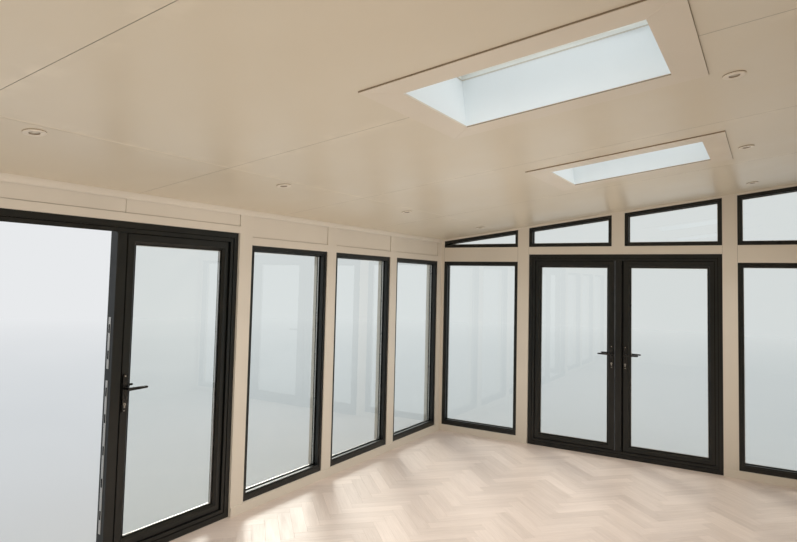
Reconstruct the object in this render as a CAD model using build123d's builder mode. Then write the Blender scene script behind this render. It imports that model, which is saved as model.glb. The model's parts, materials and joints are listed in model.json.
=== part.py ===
from build123d import *
import math
import os

# A timber-framed garden office pod under a single-pitch roof, in millimetres.
# X runs along the pod and Y across it. The long glazed front faces -Y and its low eaves,
# the glazed end faces -X. The origin is the centre of the footprint, on the ground.

# Bays of the glazed walls, seen along each wall
post_width = 120
window_width = 884
windows_each_side = 3
front_corner_width = 92
end_window_width = 872
end_corner_width = 33
door_width = 1800
wall_thickness = 140

# Heights. The door's is above the finished floor, and the rest of the wall is set out from its head.
window_sill_height = 66
door_height = 1957
window_head_drop = 78
window_header_depth = 57
door_header_depth = 48
upper_light_rise = 78
eaves_rise = 88

# Floor build-up from the ground
bearer_height = 75
bearer_width = 100
joist_height = 95
joist_width = 47
joist_spacing = 592
deck_thickness = 18
floor_thickness = 12
plinth_thickness = 20

# Roof
roof_pitch = 7.3
ceiling_thickness = 12
roof_thickness = 150
membrane_thickness = 4
eaves_overhang = 90
rear_overhang = 60
side_overhang = 60
fascia_thickness = 18
fascia_drop = 20
fascia_upstand = 12
ceiling_board_width = 1248
first_ceiling_seam = 1444
seam_gap = 2
ceiling_edge_gap = 2

# Rooflights, measured along the pod from the glazed end and up from the front wall
skylight_length = 888
skylight_width = 582
skylight_count = 3
first_skylight = 2067
skylight_spacing = 1860
skylight_distance = 2425
lining_thickness = 18
kerb_height = 80
kerb_thickness = 40
skylight_trim_width = 125
skylight_trim_thickness = 8
skylight_frame_height = 45
skylight_ledge = 17
skylight_glass_thickness = 24

# Ceiling lights
downlight_diameter = 88
downlight_depth = 6
downlight_bezel_width = 6
first_downlight = 466
downlight_spacing = 1477
downlight_count = 5
downlight_rows = (672, 3074)

# Fixed windows
window_recess = 8
window_frame_depth = 70
window_frame_face = 38
window_frame_base = 54
upper_frame_face = 34
upper_light_gap = 20
glass_thickness = 24
glass_setback = 40
glass_edge_cover = 12
glazing_clearance = 2
window_bead_width = 14
window_bead_step = 5

# Outside sills under the fixed windows
outer_sill_thickness = 20
outer_sill_nose = 35

# Door sets
door_recess = 17
door_frame_depth = 70
door_frame_face = 36
door_stop_width = 28
door_stop_setback = 5
door_stop_thickness = 8
leaf_clearance = 5
leaf_stile = 78
leaf_top_rail = 86
leaf_bottom_rail = 76
meeting_glass_distance = 107
mullion_width = 60
mullion_rise = 11
mullion_joint_width = 16
mullion_joint_depth = 6
meeting_gap = 8
bead_width = 16
bead_step = 2
bead_lip = 2
leaf_glass_setback = 18

# Door hinges, three to a leaf
knuckle_radius = 8
knuckle_length = 45
hinge_standoff = 9
running_clearance = 0.05
hinge_tab_length = 26
hinge_tab_thickness = 4
hinge_count = 3
hinge_end_distance = 150
open_angle = 90

# Door furniture
handle_distance = 64
spindle_height = 985
spindle_size = 8
spindle_hole_radius = 8
plate_width = 28
plate_length = 225
plate_rise = 85
plate_thickness = 10
lever_length = 118
lever_standoff = 40
lever_thickness = 12
lever_root_height = 19
lever_tip_height = 13

# Inside trims
skirting_height = 60
skirting_thickness = 8
cove_height = 36
cove_thickness = 18
cove_lip_height = 12
cove_shoulder_height = 29
cove_shoulder_depth = 13
cove_toe_depth = 7
frieze_recess = 6
frieze_thickness = 9
frieze_gap = 3
frieze_seam = 3
trim_joint = 0.5

# Positions worked out from the sizes above
bay = window_width + post_width
half_door = door_width / 2
half_length = half_door + windows_each_side * bay + front_corner_width
half_width = half_door + post_width + end_window_width + end_corner_width
floor_level = bearer_height + joist_height + deck_thickness + floor_thickness
window_head_height = door_height - window_head_drop
window_frieze_height = window_head_height + window_header_depth
door_frieze_height = door_height + door_header_depth
upper_light_height = door_height + upper_light_rise
eaves_height = upper_light_height + eaves_rise
slope = math.tan(math.radians(roof_pitch))
slope_stretch = 1 / math.cos(math.radians(roof_pitch))
tall = eaves_height + slope * 2 * (half_width + wall_thickness)
outer_half_length = half_length + wall_thickness
outer_half_width = half_width + wall_thickness
window_starts = [half_door + post_width + i * bay for i in range(windows_each_side)]
post_starts = [half_door + i * bay for i in range(windows_each_side)]

# Wall planes lie on the inner faces at floor level and look outwards, with the door sets centred
front_plane = Plane(origin=(0, -half_width, floor_level), x_dir=(1, 0, 0), z_dir=(0, -1, 0))
rear_plane = Plane(origin=(0, half_width, floor_level), x_dir=(-1, 0, 0), z_dir=(0, 1, 0))
end_plane = Plane(origin=(-half_length, 0, floor_level), x_dir=(0, -1, 0), z_dir=(-1, 0, 0))
side_plane = Plane(origin=(half_length, 0, floor_level), x_dir=(0, 1, 0), z_dir=(1, 0, 0))
deck_plane = Plane.XY.offset(floor_level - floor_thickness)

# The ceiling plane holds the underside of the lining, its Y running up the slope from the front wall
pitch = math.radians(roof_pitch)
ceiling_plane = Plane(
    origin=(0, -half_width, floor_level + eaves_height),
    x_dir=(1, 0, 0),
    z_dir=(0, -math.sin(pitch), math.cos(pitch)),
)
wall_top_plane = ceiling_plane.offset(ceiling_thickness)
ceiling_run = 2 * half_width * slope_stretch

os.makedirs("parts", exist_ok=True)


def save(piece, name):
    """Label a finished piece and write it out."""
    piece.label = name
    export_step(piece, f"parts/{name}.step")


def span(x0, x1, y0, y1, mode=Mode.ADD):
    """A rectangle between two opposite corners, in the sketch being drawn."""
    with Locations(((x0 + x1) / 2, (y0 + y1) / 2)):
        Rectangle(abs(x1 - x0), abs(y1 - y0), mode=mode)


def both_sides(x0, x1, y0, y1):
    """The same rectangle on both sides of the wall's centre line."""
    span(x0, x1, y0, y1)
    span(-x1, -x0, y0, y1)


def end_ceiling(x):
    """Height of the ceiling above the floor, at a distance along the glazed end's plane."""
    return eaves_height + slope * (half_width - x)


def upper_light_corners(x0, x1):
    """Corners of a sloping upper light on the glazed end's plane, its sides at two distances."""
    return (
        (x0, upper_light_height),
        (x1, upper_light_height),
        (x1, end_ceiling(x1) - upper_light_gap),
        (x0, end_ceiling(x0) - upper_light_gap),
    )


def skylight_centres():
    """Centres of the rooflights on the ceiling plane."""
    return [
        (first_skylight + i * skylight_spacing - half_length, skylight_distance * slope_stretch)
        for i in range(skylight_count)
    ]


def skylight_rings(margin, mode=Mode.ADD):
    """A rectangle a margin larger than each rooflight's opening, in the sketch being drawn."""
    with Locations(*skylight_centres()):
        Rectangle(skylight_width + 2 * margin, skylight_length + 2 * margin, mode=mode)


# Bearers, joists, deck and laid floor
with BuildPart() as base_bearers:
    bearer_offset = outer_half_width - plinth_thickness - bearer_width / 2
    with BuildSketch(Plane.XY):
        with Locations((0, -bearer_offset), (0, 0), (0, bearer_offset)):
            Rectangle(2 * (outer_half_length - plinth_thickness), bearer_width)
    extrude(amount=bearer_height)
save(base_bearers.part, "base_bearers")

with BuildPart() as floor_joists:
    joist_reach = outer_half_length - plinth_thickness - joist_width / 2
    joist_count = 2 * round(joist_reach / joist_spacing) + 1
    with BuildSketch(Plane.XY.offset(bearer_height)):
        with GridLocations(2 * joist_reach / (joist_count - 1), 1, joist_count, 1):
            Rectangle(joist_width, 2 * (outer_half_width - plinth_thickness))
    extrude(amount=joist_height)
save(floor_joists.part, "floor_joists")

with BuildPart() as plinth_boards:
    plinth_inside = outer_half_width - plinth_thickness
    with BuildSketch(Plane.XY):
        for side in (-1, 1):
            span(-outer_half_length, outer_half_length, side * plinth_inside, side * outer_half_width)
            span(
                side * (outer_half_length - plinth_thickness),
                side * outer_half_length,
                -plinth_inside + trim_joint,
                plinth_inside - trim_joint,
            )
    extrude(amount=bearer_height + joist_height)
save(plinth_boards.part, "plinth_boards")

with BuildPart() as floor_deck:
    with BuildSketch(Plane.XY.offset(bearer_height + joist_height)):
        Rectangle(2 * outer_half_length, 2 * outer_half_width)
    extrude(amount=deck_thickness)
save(floor_deck.part, "floor_deck")

with BuildPart() as oak_floor:
    with BuildSketch(deck_plane):
        Rectangle(2 * half_length, 2 * half_width)
        span(-half_door, half_door, -half_width - door_recess, -half_width)
        span(-half_length - door_recess, -half_length, -half_door, half_door)
    extrude(amount=floor_thickness)
save(oak_floor.part, "oak_floor")

# Posts at the corners and between the windows, cut to the pitch of the roof
with BuildPart() as wall_posts:
    with BuildSketch(deck_plane):
        for x in (-1, 1):
            for y in (-1, 1):
                span(
                    x * (half_length - front_corner_width),
                    x * outer_half_length,
                    y * half_width,
                    y * outer_half_width,
                )
                span(
                    x * half_length,
                    x * outer_half_length,
                    y * (half_width - end_corner_width),
                    y * half_width,
                )
    extrude(amount=tall)
    with BuildSketch(front_plane):
        for start in post_starts:
            both_sides(start, start + post_width, -floor_thickness, tall)
    extrude(amount=wall_thickness)
    with BuildSketch(end_plane):
        both_sides(half_door, half_door + post_width, -floor_thickness, tall)
        span(-post_width / 2, post_width / 2, upper_light_height, tall)
    extrude(amount=wall_thickness)
    split(bisect_by=wall_top_plane, keep=Keep.BOTTOM)
save(wall_posts.part, "wall_posts")

# Low rails under the fixed windows
with BuildPart() as window_base_rails:
    with BuildSketch(front_plane):
        for start in window_starts:
            both_sides(start, start + window_width, -floor_thickness, window_sill_height)
    extrude(amount=wall_thickness)
    with BuildSketch(end_plane):
        both_sides(
            half_door + post_width,
            half_width - end_corner_width,
            -floor_thickness,
            window_sill_height,
        )
    extrude(amount=wall_thickness)
save(window_base_rails.part, "window_base_rails")

# Headers of the front wall, housed out on the inside for the frieze panels
with BuildPart() as front_headers:
    with BuildSketch(front_plane):
        span(-half_door, half_door, door_height, tall)
        for start in window_starts:
            both_sides(start, start + window_width, window_head_height, tall)
    extrude(amount=wall_thickness)
    with BuildSketch(front_plane):
        span(-half_door, half_door, door_frieze_height, eaves_height)
        for start in window_starts:
            both_sides(start, start + window_width, window_frieze_height, eaves_height)
    extrude(amount=frieze_recess + frieze_thickness, mode=Mode.SUBTRACT)
    split(bisect_by=wall_top_plane, keep=Keep.BOTTOM)
save(front_headers.part, "front_headers")

with BuildPart() as frieze_panels:
    with BuildSketch(front_plane.offset(frieze_recess)):
        frieze_top = eaves_height - frieze_gap
        both_sides(
            frieze_seam / 2,
            half_door - frieze_gap,
            door_frieze_height + frieze_gap,
            frieze_top,
        )
        for start in window_starts:
            both_sides(
                start + frieze_gap,
                start + window_width - frieze_gap,
                window_frieze_height + frieze_gap,
                frieze_top,
            )
    extrude(amount=frieze_thickness)
save(frieze_panels.part, "frieze_panels")

# Rails of the glazed end: over the windows, over the doors, and under the roof
with BuildPart() as end_rails:
    with BuildSketch(end_plane):
        span(-half_door, half_door, door_height, upper_light_height)
        both_sides(
            half_door + post_width,
            half_width - end_corner_width,
            window_head_height,
            upper_light_height,
        )
        upper_bays = [
            (half_door + post_width, half_width - end_corner_width),
            (post_width / 2, half_door),
            (-half_door, -post_width / 2),
            (end_corner_width - half_width, -half_door - post_width),
        ]
        for x0, x1 in upper_bays:
            Polygon(
                (x0, end_ceiling(x0) - upper_light_gap),
                (x1, end_ceiling(x1) - upper_light_gap),
                (x1, end_ceiling(x1) + tall),
                (x0, end_ceiling(x0) + tall),
                align=None,
            )
    extrude(amount=wall_thickness)
    split(bisect_by=wall_top_plane, keep=Keep.BOTTOM)
save(end_rails.part, "end_rails")

# Plain walls at the back and at the far side
with BuildPart() as rear_wall:
    with BuildSketch(rear_plane):
        reach = half_length - front_corner_width
        span(-reach, reach, -floor_thickness, 2 * tall)
    extrude(amount=wall_thickness)
    split(bisect_by=wall_top_plane, keep=Keep.BOTTOM)
save(rear_wall.part, "rear_wall")

with BuildPart() as side_wall:
    with BuildSketch(side_plane):
        reach = half_width - end_corner_width
        span(-reach, reach, -floor_thickness, 2 * tall)
    extrude(amount=wall_thickness)
    split(bisect_by=wall_top_plane, keep=Keep.BOTTOM)
save(side_wall.part, "side_wall")

# Fixed windows: a deep black frame round each pane, glazed near its outer face
window_openings = []
for start in window_starts:
    for x in (start, -start - window_width):
        window_openings.append((front_plane, x, x + window_width))
for x in (half_door + post_width, -half_door - post_width - end_window_width):
    window_openings.append((end_plane, x, x + end_window_width))

with BuildPart() as window_frames:
    for wall, x0, x1 in window_openings:
        with BuildSketch(wall.offset(window_recess)):
            span(x0, x1, window_sill_height, window_head_height)
            span(
                x0 + window_frame_face,
                x1 - window_frame_face,
                window_sill_height + window_frame_base,
                window_head_height - window_frame_face,
                mode=Mode.SUBTRACT,
            )
        extrude(amount=window_frame_depth)
        bead_line = window_frame_face - window_bead_width
        with BuildSketch(wall.offset(window_recess)):
            span(
                x0 + bead_line,
                x1 - bead_line,
                window_sill_height + window_frame_base - window_bead_width,
                window_head_height - bead_line,
            )
        extrude(amount=window_bead_step, mode=Mode.SUBTRACT)
        with BuildSketch(wall.offset(window_recess + glass_setback)):
            span(
                x0 + window_frame_face - glass_edge_cover,
                x1 - window_frame_face + glass_edge_cover,
                window_sill_height + window_frame_base - glass_edge_cover,
                window_head_height - window_frame_face + glass_edge_cover,
            )
        extrude(amount=glass_thickness, mode=Mode.SUBTRACT)
    for x0, x1 in upper_bays:
        with BuildSketch(end_plane.offset(window_recess)):
            Polygon(*upper_light_corners(x0, x1), align=None)
            offset(amount=-upper_frame_face, kind=Kind.INTERSECTION, mode=Mode.SUBTRACT)
        extrude(amount=window_frame_depth)
        with BuildSketch(end_plane.offset(window_recess)):
            Polygon(*upper_light_corners(x0, x1), align=None)
            offset(
                amount=window_bead_width - upper_frame_face,
                kind=Kind.INTERSECTION,
                mode=Mode.REPLACE,
            )
        extrude(amount=window_bead_step, mode=Mode.SUBTRACT)
        with BuildSketch(end_plane.offset(window_recess + glass_setback)):
            Polygon(*upper_light_corners(x0, x1), align=None)
            offset(
                amount=glass_edge_cover - upper_frame_face,
                kind=Kind.INTERSECTION,
                mode=Mode.REPLACE,
            )
        extrude(amount=glass_thickness, mode=Mode.SUBTRACT)
save(window_frames.part, "window_frames")

with BuildPart() as window_glass:
    pane_cover = glass_edge_cover - glazing_clearance
    for wall, x0, x1 in window_openings:
        with BuildSketch(wall.offset(window_recess + glass_setback)):
            span(
                x0 + window_frame_face - pane_cover,
                x1 - window_frame_face + pane_cover,
                window_sill_height + window_frame_base - pane_cover,
                window_head_height - window_frame_face + pane_cover,
            )
        extrude(amount=glass_thickness)
    for x0, x1 in upper_bays:
        with BuildSketch(end_plane.offset(window_recess + glass_setback)):
            Polygon(*upper_light_corners(x0, x1), align=None)
            offset(amount=pane_cover - upper_frame_face, kind=Kind.INTERSECTION, mode=Mode.REPLACE)
        extrude(amount=glass_thickness)
save(window_glass.part, "window_glass")

# Sloping sills outside the fixed windows
with BuildPart() as outer_sills:
    sill_start = window_recess + window_frame_depth
    sill_end = wall_thickness + outer_sill_nose
    for wall, x0, x1 in window_openings:
        side_view = Plane(
            origin=wall.from_local_coords((x0, 0, 0)),
            x_dir=wall.z_dir,
            z_dir=wall.z_dir.cross(wall.y_dir),
        )
        with BuildSketch(side_view) as sill_profile:
            with BuildLine():
                Polyline(
                    (sill_start, window_sill_height),
                    (sill_end, window_sill_height),
                    (sill_end, window_sill_height + outer_sill_thickness / 2),
                    (sill_start, window_sill_height + outer_sill_thickness),
                    close=True,
                )
            make_face()
        inward = wall.x_dir.dot(side_view.z_dir)
        extrude(amount=inward * (x1 - x0))
save(outer_sills.part, "outer_sills")

# Roof: insulated panel, membrane, ceiling boards and fascias, all square to the pitch
roof_low = -(wall_thickness + eaves_overhang) * slope_stretch
roof_high = ceiling_run + (wall_thickness + rear_overhang) * slope_stretch
roof_half_length = outer_half_length + side_overhang

with BuildPart() as roof_panel:
    with BuildSketch(wall_top_plane):
        span(-roof_half_length, roof_half_length, roof_low, roof_high)
        skylight_rings(lining_thickness, mode=Mode.SUBTRACT)
    extrude(amount=roof_thickness)
save(roof_panel.part, "roof_panel")

with BuildPart() as roof_membrane:
    with BuildSketch(wall_top_plane.offset(roof_thickness)):
        span(-roof_half_length, roof_half_length, roof_low, roof_high)
        skylight_rings(lining_thickness + kerb_thickness, mode=Mode.SUBTRACT)
    extrude(amount=membrane_thickness)
save(roof_membrane.part, "roof_membrane")

with BuildPart() as fascias:
    fascia_height = fascia_drop + roof_thickness + membrane_thickness + fascia_upstand
    with BuildSketch(wall_top_plane.offset(-fascia_drop)):
        reach = roof_half_length + fascia_thickness
        span(-reach, reach, roof_low - fascia_thickness, roof_low)
        span(-reach, reach, roof_high, roof_high + fascia_thickness)
        both_sides(
            roof_half_length,
            reach,
            roof_low + trim_joint,
            roof_high - trim_joint,
        )
    extrude(amount=fascia_height)
save(fascias.part, "fascias")

with BuildPart() as ceiling_boards:
    seams = [-half_length]
    next_seam = first_ceiling_seam - half_length
    while next_seam < half_length - seam_gap:
        seams.append(next_seam)
        next_seam += ceiling_board_width
    seams.append(half_length)
    with BuildSketch(ceiling_plane):
        for x0, x1 in zip(seams, seams[1:]):
            span(x0 + seam_gap / 2, x1 - seam_gap / 2, ceiling_edge_gap, ceiling_run)
        skylight_rings(lining_thickness, mode=Mode.SUBTRACT)
    extrude(amount=ceiling_thickness)
save(ceiling_boards.part, "ceiling_boards")

# Rooflights: a deep lining, a kerb above the roof with its frame, and a double-glazed pane
kerb_top = ceiling_thickness + roof_thickness + kerb_height

with BuildPart() as skylight_linings:
    with BuildSketch(ceiling_plane):
        skylight_rings(lining_thickness)
        skylight_rings(0, mode=Mode.SUBTRACT)
    extrude(amount=kerb_top)
save(skylight_linings.part, "skylight_linings")

with BuildPart() as skylight_kerbs:
    kerb_margin = lining_thickness + kerb_thickness
    with BuildSketch(wall_top_plane.offset(roof_thickness)):
        skylight_rings(kerb_margin)
        skylight_rings(lining_thickness, mode=Mode.SUBTRACT)
    extrude(amount=kerb_height)
    with BuildSketch(ceiling_plane.offset(kerb_top)):
        skylight_rings(kerb_margin + lining_thickness)
        skylight_rings(-skylight_ledge, mode=Mode.SUBTRACT)
    extrude(amount=skylight_frame_height)
    with BuildSketch(ceiling_plane.offset(kerb_top + skylight_frame_height - skylight_glass_thickness)):
        skylight_rings(kerb_thickness)
    extrude(amount=skylight_glass_thickness, mode=Mode.SUBTRACT)
save(skylight_kerbs.part, "skylight_kerbs")

with BuildPart() as skylight_glass:
    with BuildSketch(ceiling_plane.offset(kerb_top + skylight_frame_height - skylight_glass_thickness)):
        skylight_rings(kerb_thickness - glazing_clearance)
    extrude(amount=skylight_glass_thickness)
save(skylight_glass.part, "skylight_glass")

with BuildPart() as skylight_trims:
    with BuildSketch(ceiling_plane):
        skylight_rings(skylight_trim_width)
        skylight_rings(0, mode=Mode.SUBTRACT)
    extrude(amount=-skylight_trim_thickness)
save(skylight_trims.part, "skylight_trims")

# Ceiling lights: a thin round bezel with a sloping rim
with BuildPart() as downlight:
    with BuildSketch(Plane.XZ):
        with BuildLine():
            rim = downlight_diameter / 2
            Polyline(
                (0, 0),
                (rim, 0),
                (rim - downlight_bezel_width, -downlight_depth),
                (0, -downlight_depth),
                close=True,
            )
        make_face()
    revolve(axis=Axis.Z)

with BuildPart() as downlights:
    for i in range(downlight_count):
        for distance in downlight_rows:
            centre = (first_downlight + i * downlight_spacing - half_length, distance * slope_stretch)
            add(downlight.part.moved(ceiling_plane.location * Location((*centre, 0))))
save(downlights.part, "downlights")

# Cove trim along the front eaves, cut to the ceiling
with BuildPart() as cove_trim:
    with BuildSketch(Plane(front_plane.origin, x_dir=(0, 1, 0), z_dir=(1, 0, 0))):
        with BuildLine():
            Polyline(
                (cove_thickness, tall),
                (cove_thickness, eaves_height - cove_lip_height),
                (cove_shoulder_depth, eaves_height - cove_shoulder_height),
                (cove_toe_depth, eaves_height - cove_height),
                (0, eaves_height - cove_height),
                (0, tall),
                close=True,
            )
        make_face()
    extrude(amount=half_length, both=True)
    split(bisect_by=ceiling_plane, keep=Keep.BOTTOM)
save(cove_trim.part, "cove_trim")

# Skirting, slightly proud of the posts, stopping at the door frames
with BuildPart() as skirting:
    with BuildSketch(deck_plane.offset(floor_thickness)):
        face = half_width - skirting_thickness
        span(-half_length, -half_door, -half_width, -face)
        span(half_door, half_length, -half_width, -face)
        span(-half_length, half_length, face, half_width)
        for side in (-1, 1):
            span(
                -half_length,
                -half_length + skirting_thickness,
                side * half_door,
                side * (face - trim_joint),
            )
        span(half_length - skirting_thickness, half_length, -face + trim_joint, face - trim_joint)
    extrude(amount=skirting_height)
save(skirting.part, "skirting")

# Door sets. Depth is measured outwards from the inner face of the door frame.
axis_inset = door_frame_face + leaf_clearance / 2
axis_depth = door_frame_depth + hinge_standoff
axis_reach = half_door - axis_inset
leaf_face_depth = door_stop_setback + door_stop_thickness + leaf_clearance
leaf_edge = leaf_clearance / 2
leaf_bottom = door_frame_face + leaf_clearance
neck_radius = lever_root_height / 2
leaf_top = door_height - door_frame_face - leaf_clearance
stop_inset = door_frame_face + door_stop_width
hinge_length = 2 * knuckle_length + running_clearance
first_hinge = leaf_bottom + hinge_end_distance
hinge_pitch = (leaf_top - hinge_end_distance - hinge_length - first_hinge) / (hinge_count - 1)
hinge_heights = [first_hinge + i * hinge_pitch for i in range(hinge_count)]


def turned(vector, degrees):
    """A level direction turned about the vertical."""
    return Vector(vector).rotate(Axis.Z, degrees)


def knuckle(axis, height):
    """An upright hinge barrel on a leaf's axis, its foot at a height above the floor."""
    with Locations(Location(axis.from_local_coords((0, height, 0)))):
        Cylinder(
            knuckle_radius,
            knuckle_length,
            align=(Align.CENTER, Align.CENTER, Align.MIN),
        )


def hinge_plane(wall, side, angle):
    """The plane of a leaf through its hinge axis at floor level, turned open by an angle."""
    origin = wall.from_local_coords((-side * axis_reach, 0, door_recess + axis_depth))
    turn = -side * angle
    return Plane(origin=origin, x_dir=turned(wall.x_dir, turn), z_dir=turned(wall.z_dir, turn))


for wall_name, wall in (("front", front_plane), ("end", end_plane)):
    frame_plane = wall.offset(door_recess)
    with BuildPart() as door_frame:
        with BuildSketch(frame_plane):
            span(-half_door, half_door, -floor_thickness, door_height)
            inner = half_door - door_frame_face
            span(-inner, inner, door_frame_face, door_height - door_frame_face, mode=Mode.SUBTRACT)
        extrude(amount=door_frame_depth)
        with BuildSketch(frame_plane.offset(door_stop_setback)):
            span(-inner, inner, door_frame_face, door_height - door_frame_face)
            inner = half_door - stop_inset
            span(-inner, inner, stop_inset, door_height - stop_inset, mode=Mode.SUBTRACT)
        extrude(amount=door_stop_thickness)
        for side in (-1, 1):
            axis = hinge_plane(wall, side, 0)
            for height in hinge_heights:
                with BuildSketch(axis.offset(-hinge_standoff)):
                    span(-side * hinge_tab_length, 0, height, height + knuckle_length)
                extrude(amount=hinge_tab_thickness)
                knuckle(axis, height)
    save(door_frame.part, f"{wall_name}_door_frame")

# Each leaf is named by its side as seen from outside. The left one carries the flying mullion.
# The right leaf of the front stands open.
leaves = (
    ("front_left", front_plane, 1, 0),
    ("front_right", front_plane, -1, open_angle),
    ("end_left", end_plane, 1, 0),
    ("end_right", end_plane, -1, 0),
)
for leaf_name, wall, side, angle in leaves:
    axis = hinge_plane(wall, side, angle)
    inner_face = axis.offset(leaf_face_depth - axis_depth)
    outer_face = axis.offset(-hinge_standoff)
    leaf_thickness = door_frame_depth - leaf_face_depth
    has_mullion = side == 1
    meeting_edge = axis_reach - mullion_width / 2
    if not has_mullion:
        meeting_edge -= meeting_gap
    glass_start = leaf_edge + leaf_stile
    glass_end = axis_reach - meeting_glass_distance
    glass_bottom = leaf_bottom + leaf_bottom_rail
    glass_top = leaf_top - leaf_top_rail
    handle_x = side * (axis_reach - handle_distance)

    with BuildPart() as leaf:
        with BuildSketch(inner_face):
            span(side * leaf_edge, side * meeting_edge, leaf_bottom, leaf_top)
            span(side * glass_start, side * glass_end, glass_bottom, glass_top, mode=Mode.SUBTRACT)
        extrude(amount=leaf_thickness)
        outer_setback = leaf_thickness - leaf_glass_setback - glass_thickness
        for face, inwards, setback in (
            (inner_face, 1, leaf_glass_setback),
            (outer_face, -1, outer_setback),
        ):
            slope_depth = setback - bead_step - bead_lip
            with BuildSketch(face) as bead_outline:
                span(
                    side * (glass_start - bead_width),
                    side * (glass_end + bead_width),
                    glass_bottom - bead_width,
                    glass_top + bead_width,
                )
            extrude(amount=inwards * bead_step, mode=Mode.SUBTRACT)
            sunk_outline = bead_outline.sketch.moved(Location(face.z_dir * inwards * bead_step))
            extrude(
                sunk_outline,
                amount=inwards * slope_depth,
                taper=math.degrees(math.atan(bead_width / slope_depth)),
                mode=Mode.SUBTRACT,
            )
            if has_mullion:
                with BuildSketch(face):
                    span(meeting_edge - mullion_joint_width, meeting_edge, leaf_bottom, leaf_top)
                extrude(amount=inwards * mullion_joint_depth, mode=Mode.SUBTRACT)
        with BuildSketch(inner_face.offset(leaf_glass_setback)):
            span(
                side * (glass_start - glass_edge_cover),
                side * (glass_end + glass_edge_cover),
                glass_bottom - glass_edge_cover,
                glass_top + glass_edge_cover,
            )
        extrude(amount=glass_thickness, mode=Mode.SUBTRACT)
        if has_mullion:
            mullion_end = meeting_edge + mullion_width
            with BuildSketch(inner_face):
                span(meeting_edge, mullion_end, leaf_bottom, leaf_top)
            extrude(amount=leaf_thickness)
            with BuildSketch(inner_face.offset(-mullion_rise)):
                span(
                    meeting_edge,
                    mullion_end,
                    stop_inset + leaf_clearance,
                    door_height - stop_inset - leaf_clearance,
                )
            extrude(amount=mullion_rise)
        for height in hinge_heights:
            knuckle_foot = height + knuckle_length + running_clearance
            with BuildSketch(outer_face):
                span(0, side * hinge_tab_length, knuckle_foot, knuckle_foot + knuckle_length)
            extrude(amount=hinge_tab_thickness)
            knuckle(axis, knuckle_foot)
        with BuildSketch(inner_face):
            with Locations((handle_x, spindle_height)):
                Circle(spindle_hole_radius)
        extrude(amount=leaf_thickness, mode=Mode.SUBTRACT)
    save(leaf.part, f"{leaf_name}_leaf")

    with BuildPart() as leaf_glass:
        with BuildSketch(inner_face.offset(leaf_glass_setback)):
            span(
                side * (glass_start - pane_cover),
                side * (glass_end + pane_cover),
                glass_bottom - pane_cover,
                glass_top + pane_cover,
            )
        extrude(amount=glass_thickness)
    save(leaf_glass.part, f"{leaf_name}_glass")

    with BuildPart() as plates:
        for face, outwards in ((inner_face, -1), (outer_face, 1)):
            with BuildSketch(face):
                with Locations((handle_x, spindle_height + plate_rise - plate_length / 2)):
                    SlotOverall(plate_length, plate_width, rotation=90)
                with Locations((handle_x, spindle_height)):
                    Circle(neck_radius + running_clearance, mode=Mode.SUBTRACT)
            extrude(amount=outwards * plate_thickness)
    save(plates.part, f"{leaf_name}_plates")

    with BuildPart() as lever:
        for face, outwards in ((inner_face, -1), (outer_face, 1)):
            with BuildSketch(face):
                with Locations((handle_x, spindle_height)):
                    Circle(neck_radius)
            extrude(amount=outwards * (lever_standoff + lever_thickness))
            with BuildSketch(face.offset(outwards * lever_standoff)):
                with BuildLine():
                    tip_x = handle_x - side * lever_length
                    Polyline(
                        (handle_x, spindle_height - lever_root_height / 2),
                        (tip_x, spindle_height - lever_tip_height / 2),
                        (tip_x, spindle_height + lever_tip_height / 2),
                        (handle_x, spindle_height + lever_root_height / 2),
                        close=True,
                    )
                make_face()
                with Locations((tip_x, spindle_height)):
                    Circle(lever_tip_height / 2)
            extrude(amount=outwards * lever_thickness)
        with BuildSketch(inner_face):
            with Locations((handle_x, spindle_height)):
                Rectangle(spindle_size, spindle_size)
        extrude(amount=leaf_thickness)
    save(lever.part, f"{leaf_name}_lever")
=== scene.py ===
import bmesh
import bpy
import json
import math
import random
from mathutils import Matrix, Vector


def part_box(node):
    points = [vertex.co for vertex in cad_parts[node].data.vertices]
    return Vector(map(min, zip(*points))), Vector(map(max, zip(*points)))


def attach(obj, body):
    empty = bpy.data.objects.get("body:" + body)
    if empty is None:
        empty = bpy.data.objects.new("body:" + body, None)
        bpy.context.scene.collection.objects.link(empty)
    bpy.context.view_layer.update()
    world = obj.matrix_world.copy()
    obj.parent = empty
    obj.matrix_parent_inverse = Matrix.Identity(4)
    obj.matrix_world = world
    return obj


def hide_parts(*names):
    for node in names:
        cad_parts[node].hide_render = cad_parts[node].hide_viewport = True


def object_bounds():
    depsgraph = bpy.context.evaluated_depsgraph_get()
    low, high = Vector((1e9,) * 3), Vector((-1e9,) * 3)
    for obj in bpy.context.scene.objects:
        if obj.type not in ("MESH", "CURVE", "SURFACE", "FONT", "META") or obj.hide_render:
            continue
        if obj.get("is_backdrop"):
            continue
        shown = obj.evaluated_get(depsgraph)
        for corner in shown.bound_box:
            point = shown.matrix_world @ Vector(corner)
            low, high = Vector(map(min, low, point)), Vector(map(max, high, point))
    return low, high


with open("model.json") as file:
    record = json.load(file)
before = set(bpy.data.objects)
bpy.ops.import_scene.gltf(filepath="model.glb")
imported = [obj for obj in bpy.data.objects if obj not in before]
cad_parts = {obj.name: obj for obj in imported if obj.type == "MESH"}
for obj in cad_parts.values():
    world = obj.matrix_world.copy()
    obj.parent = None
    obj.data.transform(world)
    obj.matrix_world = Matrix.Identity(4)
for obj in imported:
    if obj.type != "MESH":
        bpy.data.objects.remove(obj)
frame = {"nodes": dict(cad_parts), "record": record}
cad_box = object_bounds()
nodes = frame["nodes"]

# The room, taken from the frame, in metres: half its length and width, and its floor's surface
FLOOR_LOW, FLOOR_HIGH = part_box("oak_floor")
SKIRTING_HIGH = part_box("skirting")[1]
ROOM_X = SKIRTING_HIGH.x
ROOM_Y = SKIRTING_HIGH.y
FLOOR_Z = FLOOR_HIGH.z

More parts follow.
